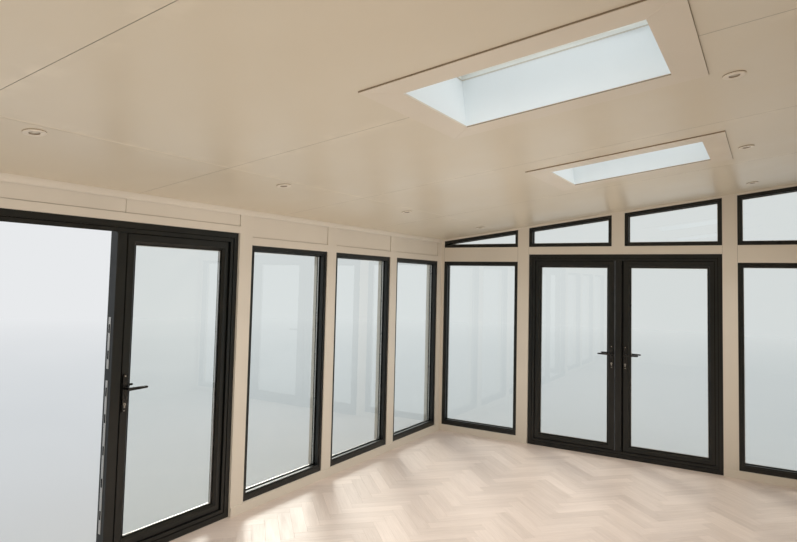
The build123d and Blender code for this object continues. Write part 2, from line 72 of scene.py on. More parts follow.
# Sizes that repeat part.py's, in metres
HALF_DOOR = 0.9
DOOR_HEAD = 1.957
POST_WIDTH = 0.12
PITCH = math.radians(7.3)
EAVES_Z = FLOOR_Z + 2.123

# The photo's camera, solved from 154 of its edge points
CAMERA_PLACE = Vector((2.2115, 1.2659, 1.8476))
CAMERA_YAW = math.radians(-31.2267)
CAMERA_PITCH = math.radians(3.2764)
CAMERA_ROLL = math.radians(1.3398)
FOCAL_PIXELS = 613.738
PHOTO_WIDTH = 797
PHOTO_HEIGHT = 542
AXIS_ROW = 245.73

random.seed(7)


# Small helpers for node trees


def linear(red, green, blue):
    """A colour written as it shows on screen, 0 to 255, in linear values."""
    values = []
    for channel in (red, green, blue):
        c = channel / 255
        values.append(c / 12.92 if c <= 0.04045 else ((c + 0.055) / 1.055) ** 2.4)
    return (*values, 1)


def join(tree, value, socket):
    """Link a socket, or write a constant on it."""
    if isinstance(value, bpy.types.NodeSocket):
        tree.links.new(value, socket)
    else:
        socket.default_value = value


def math_node(tree, operation, first, second, clamp=False):
    """The result of a math node."""
    node = tree.nodes.new("ShaderNodeMath")
    node.operation = operation
    node.use_clamp = clamp
    join(tree, first, node.inputs[0])
    join(tree, second, node.inputs[1])
    return node.outputs[0]


class Finish:
    """A node material being built."""

    def __init__(self, name, colour, roughness, metallic=0.0):
        self.material = bpy.data.materials.new(name)
        self.material.use_nodes = True
        self.tree = self.material.node_tree
        self.shader = self.tree.nodes["Principled BSDF"]
        self.shader.inputs["Base Color"].default_value = colour
        self.shader.inputs["Roughness"].default_value = roughness
        self.shader.inputs["Metallic"].default_value = metallic
        self.place = self.add("ShaderNodeTexCoord").outputs["Object"]
        self.normal = None

    def add(self, kind, **values):
        """A new node with its settings."""
        node = self.tree.nodes.new(kind)
        for key, value in values.items():
            setattr(node, key, value)
        return node

    def join(self, value, socket):
        join(self.tree, value, socket)

    def stretched(self, scale, source=None):
        """Coordinates scaled by a vector."""
        node = self.add("ShaderNodeMapping")
        self.join(source or self.place, node.inputs["Vector"])
        node.inputs["Scale"].default_value = scale
        return node.outputs["Vector"]

    def noise(self, scale, detail=2.0, vector=None, roughness=0.5, distortion=0.0):
        """A noise value from 0 to 1."""
        node = self.add("ShaderNodeTexNoise")
        self.join(vector or self.place, node.inputs["Vector"])
        node.inputs["Scale"].default_value = scale
        node.inputs["Detail"].default_value = detail
        node.inputs["Roughness"].default_value = roughness
        node.inputs["Distortion"].default_value = distortion
        return node.outputs["Fac"]

    def math(self, operation, first, second=0.0, clamp=False):
        return math_node(self.tree, operation, first, second, clamp)

    def remap(self, value, low, high, to_low, to_high):
        """A value moved from one range to another, clamped."""
        node = self.add("ShaderNodeMapRange")
        self.join(value, node.inputs["Value"])
        node.inputs["From Min"].default_value = low
        node.inputs["From Max"].default_value = high
        node.inputs["To Min"].default_value = to_low
        node.inputs["To Max"].default_value = to_high
        return node.outputs["Result"]

    def mix(self, factor, first, second):
        """A colour between two others."""
        node = self.add("ShaderNodeMix", data_type="RGBA")
        self.join(factor, node.inputs["Factor"])
        self.join(first, node.inputs[6])
        self.join(second, node.inputs[7])
        return node.outputs[2]

    def axis(self, index, source=None):
        """One coordinate of a vector."""
        node = self.add("ShaderNodeSeparateXYZ")
        self.join(source or self.place, node.inputs[0])
        return node.outputs[index]

    def colour(self, value):
        self.join(value, self.shader.inputs["Base Color"])

    def roughness(self, value):
        self.join(value, self.shader.inputs["Roughness"])

    def soften(self, radius):
        """Round the shading of sharp edges."""
        node = self.add("ShaderNodeBevel", samples=4)
        node.inputs["Radius"].default_value = radius
        self.normal = node.outputs["Normal"]
        self.join(self.normal, self.shader.inputs["Normal"])

    def bump(self, height, strength, distance):
        """Raise the surface by a height value, on top of earlier bumps."""
        node = self.add("ShaderNodeBump")
        node.inputs["Strength"].default_value = strength
        node.inputs["Distance"].default_value = distance
        self.join(height, node.inputs["Height"])
        if self.normal:
            self.join(self.normal, node.inputs["Normal"])
        self.normal = node.outputs["Normal"]
        self.join(self.normal, self.shader.inputs["Normal"])


# Finishes


def wall_paint(name, base, roughness=0.42):
    """Satin paint on planed timber: roller stipple, faint grain and slight shade drift."""
    f = Finish(name, base, roughness)
    darker = tuple(c * 0.93 for c in base[:3]) + (1,)
    drift = f.noise(1.3, 3)
    f.colour(f.mix(f.remap(drift, 0.35, 0.7, 0, 1), base, darker))
    f.roughness(f.remap(f.noise(6, 3), 0.3, 0.7, roughness - 0.06, roughness + 0.06))
    f.soften(0.0012)
    f.bump(f.noise(420, 2), 0.10, 0.0004)
    f.bump(f.noise(3.5, 2), 0.12, 0.004)
    return f.material


# The filled joint is measured from the front wall, and the board seams from the glazed end
CEILING_JOINT = 0.76
FIRST_SEAM = 1.444
SEAM_PITCH = 1.248
SEAMS_BEFORE = 8
SMEAR_REACH = 0.09


def ceiling_paint(base):
    """Satin ceiling paint: stipple, shallow waves, painted shade in the board seams and a filled
    joint.
    """
    f = Finish("ceiling_satin", base, 0.4)
    warm = tuple(c * s for c, s in zip(base[:3], (0.95, 0.93, 0.9))) + (1,)
    pale = tuple(min(1, c * 1.13) for c in base[:3]) + (1,)
    # Painted shade: the seam colour, darkened to stand for the shadow in the seams' gaps
    dark = tuple(c * 0.42 for c in base[:3]) + (1,)
    paint = f.mix(f.remap(f.noise(0.9, 4), 0.35, 0.7, 0, 1), base, warm)
    from_joint = f.math("ABSOLUTE", f.math("SUBTRACT", f.axis(1), CEILING_JOINT - ROOM_Y))
    shift = ROOM_X - FIRST_SEAM + (SEAMS_BEFORE + 0.5) * SEAM_PITCH
    shifted = f.math("ADD", f.axis(0), shift)
    wrapped = f.math("MODULO", shifted, SEAM_PITCH)
    from_seam = f.math("ABSOLUTE", f.math("SUBTRACT", wrapped, SEAM_PITCH / 2))
    nearest = f.math("MINIMUM", from_joint, from_seam)
    beside = f.remap(nearest, 0.0, SMEAR_REACH, 0.5, 0)
    patches = f.remap(f.noise(7, 3), 0.5, 0.62, 0, 1)
    smear = f.math("MULTIPLY", beside, patches)
    paint = f.mix(smear, paint, pale)
    paint = f.mix(f.remap(from_joint, 0.001, 0.006, 0.75, 0), paint, pale)
    # Painted shade along each board seam
    paint = f.mix(f.remap(from_seam, 0.0008, 0.0026, 0.75, 0), paint, dark)
    f.colour(paint)
    f.roughness(f.remap(f.noise(2.2, 3), 0.3, 0.7, 0.29, 0.37))
    f.bump(f.noise(1.2, 0), 0.05, 0.01)
    f.bump(f.noise(380, 2), 0.06, 0.0004)
    f.bump(f.remap(from_joint, 0.0, 0.012, 1, 0), 0.8, 0.003)
    return f.material


def powder_coat(name, base, roughness):
    """Fine-textured dark powder coating."""
    f = Finish(name, base, roughness)
    lighter = tuple(c * 1.3 + 0.001 for c in base[:3]) + (1,)
    f.colour(f.mix(f.remap(f.noise(5, 4), 0.35, 0.75, 0, 1), base, lighter))
    f.roughness(f.remap(f.noise(14, 3), 0.3, 0.7, roughness - 0.05, roughness + 0.08))
    f.soften(0.0015)
    f.bump(f.noise(900, 2), 0.12, 0.0003)
    return f.material


def oak(name, light, dark, coordinates, tone=None):
    """Washed oak: long fibres, pores and softer cathedral bands, along X of the coordinates."""
    f = Finish(name, light, 0.42)
    if coordinates == "UV":
        f.place = f.add("ShaderNodeUVMap", uv_map="grain").outputs["UV"]
    fibres = f.noise(1.0, 6, f.stretched((6, 150, 60)), 0.6)
    bands = f.noise(1.0, 3, f.stretched((1.6, 22, 10)), 0.5, 0.9)
    pores = f.noise(1.0, 2, f.stretched((28, 700, 200)), 0.7)
    grain = f.math("ADD", f.math("MULTIPLY", fibres, 0.55), f.math("MULTIPLY", bands, 0.45))
    shade = f.remap(grain, 0.36, 0.66, 0, 1)
    if tone:
        own = f.add("ShaderNodeAttribute", attribute_name=tone).outputs["Fac"]
        halves = f.math("MULTIPLY", shade, 0.5), f.math("MULTIPLY", own, 0.5)
        shade = f.math("ADD", *halves, clamp=True)
    wood = f.mix(shade, light, dark)
    pore_line = f.remap(pores, 0.62, 0.75, 0, 0.35)
    f.colour(f.mix(pore_line, wood, tuple(c * 0.55 for c in dark[:3]) + (1,)))
    f.roughness(f.remap(grain, 0.35, 0.65, 0.36, 0.5))
    f.bump(fibres, 0.12, 0.0006)
    f.bump(pore_line, -0.15, 0.0004)
    return f.material


def rubber_roof():
    """Dark grey single-ply rubber with dust and slow ripples."""
    f = Finish("roof_rubber", linear(58, 60, 62), 0.62)
    dust = f.remap(f.noise(2.2, 6, roughness=0.65), 0.42, 0.72, 0, 1)
    f.colour(f.mix(dust, linear(56, 58, 60), linear(84, 84, 82)))
    f.roughness(f.remap(dust, 0, 1, 0.55, 0.78))
    f.bump(f.noise(7, 2), 0.35, 0.004)
    f.bump(f.noise(320, 2), 0.15, 0.0006)
    return f.material


def treated_timber():
    """Rough-sawn treated softwood."""
    f = Finish("sawn_timber", linear(142, 128, 92), 0.8)
    grain = f.noise(1.0, 5, f.stretched((3, 60, 60)), 0.6)
    f.colour(f.mix(f.remap(grain, 0.35, 0.68, 0, 1), linear(150, 137, 100), linear(104, 92, 62)))
    f.bump(grain, 0.4, 0.002)
    return f.material


def clear_glass(name, tint, strength):
    """Flat glazing: light goes straight through, and the face seen first has the gloss of both."""
    material = bpy.data.materials.new(name)
    material.use_nodes = True
    tree = material.node_tree
    tree.nodes.clear()
    output = tree.nodes.new("ShaderNodeOutputMaterial")
    clear = tree.nodes.new("ShaderNodeBsdfTransparent")
    clear.inputs["Color"].default_value = tint
    gloss = tree.nodes.new("ShaderNodeBsdfGlossy")
    gloss.inputs["Color"].default_value = (1, 1, 1, 1)
    gloss.inputs["Roughness"].default_value = 0.0
    mix = tree.nodes.new("ShaderNodeMixShader")
    fresnel = tree.nodes.new("ShaderNodeFresnel")
    fresnel.inputs["IOR"].default_value = 1.5
    shape = tree.nodes.new("ShaderNodeNewGeometry")
    front = math_node(tree, "SUBTRACT", 1, shape.outputs["Backfacing"])
    gain = math_node(tree, "MULTIPLY", fresnel.outputs[0], strength)
    masked = math_node(tree, "MULTIPLY", gain, front, clamp=True)
    tree.links.new(masked, mix.inputs[0])
    tree.links.new(clear.outputs[0], mix.inputs[1])
    tree.links.new(gloss.outputs[0], mix.inputs[2])
    tree.links.new(mix.outputs[0], output.inputs["Surface"])
    return material


def plain_metal(name, base, roughness):
    """Brushed bare metal."""
    f = Finish(name, base, roughness, metallic=1.0)
    brushed = f.noise(1, 3, f.stretched((900, 40, 40)))
    f.roughness(f.remap(brushed, 0.3, 0.7, roughness - 0.06, roughness + 0.1))
    f.bump(f.noise(1, 2, f.stretched((1500, 60, 60))), 0.05, 0.0002)
    return f.material


def rubber_seal():
    """Matt black gasket rubber."""
    f = Finish("seal_rubber", linear(9, 9, 9), 0.75)
    f.shader.inputs["Specular IOR Level"].default_value = 0.15
    f.bump(f.noise(600, 2), 0.1, 0.0003)
    return f.material


def lamp_lens():
    """Frosted lens of an unlit ceiling light."""
    f = Finish("lamp_lens", linear(214, 206, 190), 0.25)
    rings = f.add("ShaderNodeTexVoronoi", feature="F1")
    f.join(f.place, rings.inputs["Vector"])
    rings.inputs["Scale"].default_value = 160
    f.bump(rings.outputs["Distance"], 0.3, 0.001)
    return f.material


OFF_WHITE = linear(223, 214, 200)
CEILING = linear(218, 207, 187)
BLACK = linear(14, 17, 16)
BACKDROP = linear(232, 234, 236)

PAINT = wall_paint("off_white_satin", OFF_WHITE)
CLADDING_PAINT = wall_paint("cladding_satin", linear(224, 214, 198), 0.5)
CEILING_PAINT = ceiling_paint(CEILING)
TRIM_PAINT = wall_paint("trim_satin", linear(223, 211, 193), 0.34)
# White shaft paint, tinted blue as painted light: the tint stands for the daylight that falls into
# the shafts
SHAFT_PAINT_DAYLIGHT_TINT = wall_paint("shaft_satin_daylight_tint", linear(245, 251, 253), 0.45)
FRAME_COAT = powder_coat("black_powder_coat", BLACK, 0.33)
HANDLE_COAT = powder_coat("black_handle_coat", linear(20, 20, 20), 0.26)
OAK_FLOOR = oak("oak_herringbone", linear(230, 214, 202), linear(203, 187, 175), "UV", "tone")
OAK_PLAIN = oak("oak_plain", linear(221, 205, 191), linear(190, 173, 159), "Object")
ROOF_RUBBER = rubber_roof()
TIMBER = treated_timber()
WINDOW_GLASS = clear_glass("window_glass", (0.93, 0.95, 0.94, 1), 1.9)
SKYLIGHT_GLASS = clear_glass("skylight_glass", (0.97, 0.985, 0.99, 1), 1.9)
STEEL = plain_metal("satin_steel", linear(196, 194, 190), 0.3)
# Painted shadow for the joints between posts and rails
JOINT_SHADE = wall_paint("joint_shadow", linear(128, 114, 96), 0.7)
# Painted shade, for edges and lines that stand in shadow
EDGE_SHADOW = wall_paint("edge_shadow", linear(136, 118, 94), 0.8)
LEDGE_WHITE = wall_paint("ledge_white", linear(247, 250, 247), 0.4)
# Painted shadow: the grey line under each rooflight's ledge cover
SHAFT_SHADOW_LINE = wall_paint("shaft_shadow_line", linear(216, 212, 201), 0.7)
SEAL = rubber_seal()
LAMP_LENS = lamp_lens()
LAMP_WHITE = wall_paint("lamp_enamel", linear(226, 214, 196), 0.3)
# Painted shade: the baffle's wall coloured dark as the shade in its recess
BAFFLE_SHADE = wall_paint("lamp_baffle_shade", linear(136, 120, 98), 0.35)

finishes = {
    "off_white_paint": PAINT,
    "ceiling_paint": CEILING_PAINT,
    "black_frame": FRAME_COAT,
    "handle_black": HANDLE_COAT,
    "oak": OAK_PLAIN,
    "treated_timber": TIMBER,
    "glass": WINDOW_GLASS,
    "skylight_glass": SKYLIGHT_GLASS,
    "skylight_paint": SHAFT_PAINT_DAYLIGHT_TINT,
    "roof_membrane": ROOF_RUBBER,
    "downlight": LAMP_WHITE,
}


def dress_cad_nodes():
    """Give every CAD node its finish, by the slot that the record names for it."""
    slot_of = {part["node"]: part["material_slot"] for part in frame["record"]["subparts"]}
    for name, piece in nodes.items():
        finish = finishes[slot_of[name]]
        piece.data.materials.clear()
        piece.data.materials.append(finish)


# Mesh helpers


def make_piece(name, bm, materials, body):
    """Turn a bmesh into an object that rides on a body."""
    bmesh.ops.recalc_face_normals(bm, faces=bm.faces)
    data = bpy.data.meshes.new(name)
    bm.to_mesh(data)
    bm.free()
    for material in materials:
        data.materials.append(material)
    piece = bpy.data.objects.new(name, data)
    bpy.context.scene.collection.objects.link(piece)
    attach(piece, body)
    return piece


def add_block(bm, low, high, chamfer=0.0, material=0):
    """A box between two corners, with chamfered edges."""
    before = set(bm.faces)
    centre = (Vector(low) + Vector(high)) / 2
    size = Vector(high) - Vector(low)
    matrix = Matrix.Translation(centre) @ Matrix.Diagonal((*size, 1))
    made = bmesh.ops.create_cube(bm, size=1, matrix=matrix)
    if chamfer:
        edges = {e for v in made["verts"] for e in v.link_edges}
        bmesh.ops.bevel(bm, geom=list(edges), offset=chamfer, segments=1, affect="EDGES")
    for face in set(bm.faces) - before:
        face.material_index = material


SHORTEST_EDGE = 0.004


def inset_polygon(points, distance):
    """A convex polygon, counter-clockwise, moved in by a distance on every side."""
    count = len(points)
    lines = []
    for i in range(count):
        a = points[i]
        b = points[(i + 1) % count]
        along = (b - a).normalized()
        inward = Vector((-along.y, along.x))
        lines.append((a + inward * distance, along))
    result = []
    for i in range(count):
        p, r = lines[i - 1]
        q, s = lines[i]
        cross = r.x * s.y - r.y * s.x
        if abs(cross) < 1e-6:
            result.append(q)
        else:
            t = ((q - p).x * s.y - (q - p).y * s.x) / cross
            result.append(p + r * t)
    return result


def clip_polygon(points, low, high):
    """A polygon cut to a rectangle."""
    sides = (
        (0, low[0], 1),
        (0, high[0], -1),
        (1, low[1], 1),
        (1, high[1], -1),
    )
    for axis, limit, sign in sides:
        kept = []
        for i, current in enumerate(points):
            previous = points[i - 1]
            inside = sign * (current[axis] - limit) >= 0
            was_inside = sign * (previous[axis] - limit) >= 0
            if inside != was_inside:
                t = (limit - previous[axis]) / (current[axis] - previous[axis])
                kept.append(previous + (current - previous) * t)
            if inside:
                kept.append(current)
        points = kept
        if len(points) < 3:
            return []
    return points


def tidy_polygon(points):
    """Drop corners that nearly coincide."""
    kept = []
    for i, point in enumerate(points):
        if (point - points[i - 1]).length > SHORTEST_EDGE:
            kept.append(point)
    return kept if len(kept) > 2 else []


def add_prism(bm, outline, low, high, bevel=0.0, matrix=Matrix(), material=0):
    """A convex outline, counter-clockwise, taken from low to high, with its high edges bevelled.

    Where high is below low, the bevel is negative too.
    """
    levels = [(outline, low), (outline, high - bevel)]
    if bevel:
        levels.append((inset_polygon(outline, abs(bevel)), high))
    rings = []
    for points, z in levels:
        rings.append([bm.verts.new(matrix @ Vector((p[0], p[1], z))) for p in points])
    faces = [bm.faces.new(rings[-1]), bm.faces.new(list(reversed(rings[0])))]
    count = len(outline)
    for lower, upper in zip(rings, rings[1:]):
        for i in range(count):
            j = (i + 1) % count
            faces.append(bm.faces.new((lower[i], lower[j], upper[j], upper[i])))
    for face in faces:
        face.material_index = material
    return faces


def rectangle(x0, x1, y0, y1):
    """Corners of a rectangle, counter-clockwise."""
    return [Vector((x0, y0)), Vector((x1, y0)), Vector((x1, y1)), Vector((x0, y1))]


def ring_boards(inner, outer):
    """Four mitred boards between two rectangles given as x0, x1, y0, y1."""
    inside = rectangle(*inner)
    outside = rectangle(*outer)
    boards = []
    for i in range(4):
        j = (i + 1) % 4
        boards.append([outside[i], outside[j], inside[j], inside[i]])
    return boards


def basis(origin, x_axis, y_axis, z_axis):
    """The matrix of a plane with its own axes."""
    matrix = Matrix((x_axis, y_axis, z_axis)).transposed().to_4x4()
    matrix.translation = origin
    return matrix


def turned_profile(bm, profile, matrix, segments, material_of=None):
    """A profile of (radius, height) points, the last on the axis, turned about the matrix's Z."""
    rings = []
    for radius, height in profile:
        if radius == 0:
            rings.append([bm.verts.new(matrix @ Vector((0, 0, height)))])
            continue
        ring = []
        for i in range(segments):
            angle = 2 * math.pi * i / segments
            point = Vector((radius * math.cos(angle), radius * math.sin(angle), height))
            ring.append(bm.verts.new(matrix @ point))
        rings.append(ring)
    for index, (first, second) in enumerate(zip(rings, rings[1:])):
        for i in range(segments):
            j = (i + 1) % segments
            if len(second) == 1:
                corners = (first[i], first[j], second[0])
            else:
                corners = (first[i], first[j], second[j], second[i])
            face = bm.faces.new(corners)
            face.smooth = True
            if material_of:
                face.material_index = material_of[index]


# Planes of the building: local X along the wall, local Y up it, local Z out of the room

FRONT = basis(Vector((0, -ROOM_Y, FLOOR_Z)), (1, 0, 0), (0, 0, 1), (0, -1, 0))
END = basis(Vector((-ROOM_X, 0, FLOOR_Z)), (0, -1, 0), (0, 0, 1), (-1, 0, 0))
UP_SLOPE = Vector((0, math.cos(PITCH), math.sin(PITCH)))
ROOF_NORMAL = Vector((0, -math.sin(PITCH), math.cos(PITCH)))
CEILING_PLANE = basis(Vector((0, -ROOM_Y, EAVES_Z)), (1, 0, 0), UP_SLOPE, ROOF_NORMAL)

# Layers of the roof, in metres above the ceiling plane
PANEL_BASE = 0.012
PANEL_TOP = PANEL_BASE + 0.150
ROOF_TOP = PANEL_TOP + 0.004


# The herringbone floor

BLOCK_LENGTH = 0.45
BLOCK_WIDTH = 0.09
BLOCK_BEVEL = 0.0007
HERRINGBONE_START = Vector((-ROOM_X, 1.55 - ROOM_Y))
HERRINGBONE_COLUMNS = range(-8, 9)
SPARE_ROWS = 20
STRIP_SHADE = 0.4
GRAIN_REACH = 50


def lay_block(bm, grain, tone, outline, along, shade):
    """One block of the floor with bevelled top edges, its grain along its length."""
    outline = tidy_polygon(outline)
    if not outline:
        return
    lift = Vector((random.uniform(0, GRAIN_REACH), random.uniform(0, GRAIN_REACH)))
    across = Vector((-along.y, along.x))
    origin = outline[0]
    for face in add_prism(bm, outline, FLOOR_LOW.z, FLOOR_Z, BLOCK_BEVEL):
        for loop in face.loops:
            offset = Vector((loop.vert.co.x, loop.vert.co.y)) - origin
            loop[grain].uv = (offset.dot(along) + lift.x, offset.dot(across) + lift.y)
            loop.vert[tone] = shade


def herringbone_floor():
    """Oak blocks at 45 degrees to the walls, cut to the room, with a strip at each door."""
    bm = bmesh.new()
    grain = bm.loops.layers.uv.new("grain")
    tone = bm.verts.layers.float.new("tone")
    low = (-ROOM_X, -ROOM_Y)
    high = (ROOM_X, ROOM_Y)
    rising = Vector((1, 1)).normalized()
    falling = Vector((1, -1)).normalized()
    reach = int(2 * ROOM_X / (BLOCK_WIDTH * math.sqrt(2))) + SPARE_ROWS
    for column in HERRINGBONE_COLUMNS:
        for step in range(-reach, reach):
            start = HERRINGBONE_START + step * BLOCK_WIDTH * (rising + falling)
            start = start + column * 2 * BLOCK_LENGTH * rising
            turned = start + BLOCK_LENGTH * rising + (BLOCK_WIDTH - BLOCK_LENGTH) * falling
            pair = ((start, rising, falling), (turned, falling, rising))
            for corner, along, across in pair:
                points = [
                    corner,
                    corner + along * BLOCK_LENGTH,
                    corner + along * BLOCK_LENGTH + across * BLOCK_WIDTH,
                    corner + across * BLOCK_WIDTH,
                ]
                if along.x * across.y < along.y * across.x:
                    points.reverse()
                points = clip_polygon(points, low, high)
                if points:
                    lay_block(bm, grain, tone, points, along, random.random())
    front_strip = rectangle(-HALF_DOOR, HALF_DOOR, FLOOR_LOW.y, -ROOM_Y)
    end_strip = rectangle(FLOOR_LOW.x, -ROOM_X, -HALF_DOOR, HALF_DOOR)
    lay_block(bm, grain, tone, front_strip, Vector((1, 0)), STRIP_SHADE)
    lay_block(bm, grain, tone, end_strip, Vector((0, 1)), STRIP_SHADE)
    floor = make_piece("herringbone_floor", bm, [OAK_FLOOR], "pod")
    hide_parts("oak_floor")


# Rooflights and ceiling lights, placed along from the glazed end and out from the front wall

SKYLIGHT_WIDTH = 0.582
SKYLIGHT_LENGTH = 0.888
SKYLIGHT_DISTANCE = 2.425 / math.cos(PITCH)
FIRST_SKYLIGHT = 2.067
SKYLIGHT_SPACING = 1.86
SKYLIGHT_COUNT = 3
SKYLIGHT_PLACES = [FIRST_SKYLIGHT + i * SKYLIGHT_SPACING - ROOM_X for i in range(SKYLIGHT_COUNT)]
TRIM_WIDTH = 0.125
TRIM_THICKNESS = 0.008
TRIM_BEVEL = 0.0009
# Width and height of the painted shade on each board's outer edge
TRIM_EDGE = 0.001
TRIM_EDGE_HEIGHT = 0.0055
SHADOW_WIDTH = 0.0004
SHADOW_SPAN = (-0.0026, -0.0065)


def around_skylight(centre, margin):
    """The rectangle a margin larger than a rooflight's opening, on the ceiling plane."""
    half_width = SKYLIGHT_WIDTH / 2 + margin
    half_length = SKYLIGHT_LENGTH / 2 + margin
    return (
        centre - half_width,
        centre + half_width,
        SKYLIGHT_DISTANCE - half_length,
        SKYLIGHT_DISTANCE + half_length,
    )


def skylight_trim_boards():
    """Mitred painted boards round each rooflight, with painted shade on their outer edges and
    painted shadow lines on their long inner edges.
    """
    bm = bmesh.new()
    for centre in SKYLIGHT_PLACES:
        inner = around_skylight(centre, 0)
        painted = around_skylight(centre, TRIM_WIDTH - TRIM_EDGE)
        outer = around_skylight(centre, TRIM_WIDTH)
        for board in ring_boards(inner, painted):
            add_prism(bm, board, 0, -TRIM_THICKNESS, -TRIM_BEVEL, CEILING_PLANE)
        # Painted shade: the outer edge of each board in the dark edge colour
        for edge in ring_boards(painted, outer):
            add_prism(bm, edge, 0, -TRIM_EDGE_HEIGHT, 0.0, CEILING_PLANE, 1)
        # Painted shadow lines on the inner edges of the long boards
        for shadow in ring_boards(around_skylight(centre, -SHADOW_WIDTH), inner)[1::2]:
            add_prism(bm, shadow, *SHADOW_SPAN, 0.0, CEILING_PLANE, 1)
    materials = [TRIM_PAINT, EDGE_SHADOW]
    trims = make_piece("skylight_trim_boards", bm, materials, "pod")
    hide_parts("skylight_trims")


# The ledge's height is above the ceiling plane, and its depth is from the shaft's wall
LEDGE_HEIGHT = 0.242
LEDGE_DEPTH = 0.017
LEDGE_RISE = 0.021
LEDGE_COVER = 0.0015
LEDGE_LEG = 0.017
LEDGE_LEG_THICKNESS = 0.003
LEDGE_TOP_GAP = 0.0005
SHAFT_SHADOW_HEIGHT = 0.005


def skylight_ledge_covers():
    """White covers on the ledge at the top of each rooflight's shaft, and a painted shadow line
    under them.
    """
    bm = bmesh.new()
    low = LEDGE_HEIGHT - LEDGE_COVER
    high = LEDGE_HEIGHT + LEDGE_RISE - LEDGE_TOP_GAP
    for centre in SKYLIGHT_PLACES:
        wall = around_skylight(centre, 0)
        leg = around_skylight(centre, -LEDGE_LEG_THICKNESS)
        ledge = around_skylight(centre, -LEDGE_DEPTH)
        cover = around_skylight(centre, -LEDGE_DEPTH - LEDGE_COVER)
        for board in ring_boards(cover, wall):
            add_prism(bm, board, LEDGE_HEIGHT, low, 0.0, CEILING_PLANE)
        for board in ring_boards(cover, ledge):
            add_prism(bm, board, LEDGE_HEIGHT, high, 0.0, CEILING_PLANE)
        foot = low - LEDGE_LEG
        for board in ring_boards(leg, wall):
            add_prism(bm, board, low, foot, 0.0, CEILING_PLANE)
            # Painted shadow line at the foot of the cover's leg
            add_prism(bm, board, foot, foot - SHAFT_SHADOW_HEIGHT, 0.0, CEILING_PLANE, 1)
    make_piece("skylight_ledge_covers", bm, [LEDGE_WHITE, SHAFT_SHADOW_LINE], "pod")


FIRST_LIGHT = 0.466
LIGHT_SPACING = 1.477
LIGHT_COUNT = 5
LIGHT_ROWS = (0.672, 3.074)
LIGHT_SEGMENTS = 40
LIGHT_PROFILE = (
    (0.0440, 0.0),
    (0.0440, -0.0028),
    (0.0432, -0.0048),
    (0.0412, -0.0060),
    (0.0330, -0.0058),
    (0.0225, -0.0056),
    (0.0215, -0.0050),
    (0.0208, -0.0014),
    (0.0180, -0.0012),
    (0.0180, -0.0018),
    (0.0, -0.0024),
)
# The material of each step of the profile: 0 plate, 1 baffle painted dark as shade, 2 lens, 3
# painted shadow line
LIGHT_MATERIALS = (3, 0, 0, 0, 0, 0, 1, 1, 2, 2)


def ceiling_light_fittings():
    """Turned plate, painted shadow line, sunk baffle painted dark as shade, and frosted lens of
    each ceiling light.
    """
    bm = bmesh.new()
    for i in range(LIGHT_COUNT):
        along = FIRST_LIGHT + i * LIGHT_SPACING - ROOM_X
        for distance in LIGHT_ROWS:
            place = CEILING_PLANE @ Matrix.Translation((along, distance / math.cos(PITCH), 0))
            turned_profile(bm, LIGHT_PROFILE, place, LIGHT_SEGMENTS, LIGHT_MATERIALS)
    materials = [LAMP_WHITE, BAFFLE_SHADE, LAMP_LENS, EDGE_SHADOW]
    fittings = make_piece("ceiling_light_fittings", bm, materials, "pod")
    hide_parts("downlights")


# Outside boarding of the two plain walls

BOARD_COVER = 0.132
BOARD_GAP = 0.004
BOARD_END_GAP = 0.002
BOARD_THICKNESS = 0.014
BOARD_CHAMFER = 0.003
BOARDING_BOTTOM = 0.158
BOARDING_TOP = 3.2
CORNER_WIDTH = 0.12
CORNER_THICKNESS = 0.02
CORNER_CHAMFER = 0.002
CORNER_DROP = 0.006
CORNER_JOINT = 0.0005
MOST_CORNERS = 12


def cut_to_roof(bm):
    """Take off what stands above the underside of the roof."""
    geometry = list(bm.verts) + list(bm.edges) + list(bm.faces)
    bmesh.ops.bisect_plane(
        bm,
        geom=geometry,
        plane_co=CEILING_PLANE @ Vector((0, 0, PANEL_BASE)),
        plane_no=ROOF_NORMAL,
        clear_outer=True,
    )
    open_edges = [e for e in bm.edges if e.is_boundary]
    bmesh.ops.holes_fill(bm, edges=open_edges, sides=MOST_CORNERS)


def wall_boarding():
    """Horizontal painted boards on the rear and far side walls, and corner boards."""
    rear_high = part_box("rear_wall")[1]
    rear_face = rear_high.y
    side_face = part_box("side_wall")[1].x
    left_face = -side_face
    inset = CORNER_WIDTH + BOARD_END_GAP
    boards = (
        ((left_face + inset, rear_face), (side_face - inset, rear_face + BOARD_THICKNESS)),
        ((side_face, -rear_face + inset), (side_face + BOARD_THICKNESS, rear_face - inset)),
    )
    bm = bmesh.new()
    z = BOARDING_BOTTOM
    while z < rear_high.z:
        top = z + BOARD_COVER - BOARD_GAP
        for near, far in boards:
            add_block(bm, (*near, z), (*far, top), BOARD_CHAMFER)
        z += BOARD_COVER
    corner = CORNER_THICKNESS
    corners = (
        ((left_face, rear_face), (left_face + CORNER_WIDTH, rear_face + corner)),
        ((side_face - CORNER_WIDTH, rear_face), (side_face + corner, rear_face + corner)),
        ((side_face, rear_face - CORNER_WIDTH), (side_face + corner, rear_face - CORNER_JOINT)),
        ((side_face, -rear_face), (side_face + corner, -rear_face + CORNER_WIDTH)),
    )
    bottom = BOARDING_BOTTOM - CORNER_DROP
    for near, far in corners:
        add_block(bm, (*near, bottom), (*far, BOARDING_TOP), CORNER_CHAMFER)
    cut_to_roof(bm)
    make_piece("wall_boarding", bm, [CLADDING_PAINT], "pod")


# Roof covering details

LAP_SPACING = 1.4
LAP_WIDTH = 0.05
LAP_RISE = 0.0022
LAP_BEVEL = 0.001
LAP_LOW_GAP = 0.03
LAP_HIGH_GAP = 0.06
SKYLIGHT_SIDE_GAP = 0.16
SKYLIGHT_END_GAP = 0.15
KERB_MARGIN = 0.058
KERB_HEIGHT = 0.08
TURN_UP_THICKNESS = 0.003
TURN_UP_GAP = 0.002
FOOT_WIDTH = 0.09
FOOT_BEVEL = 0.0012


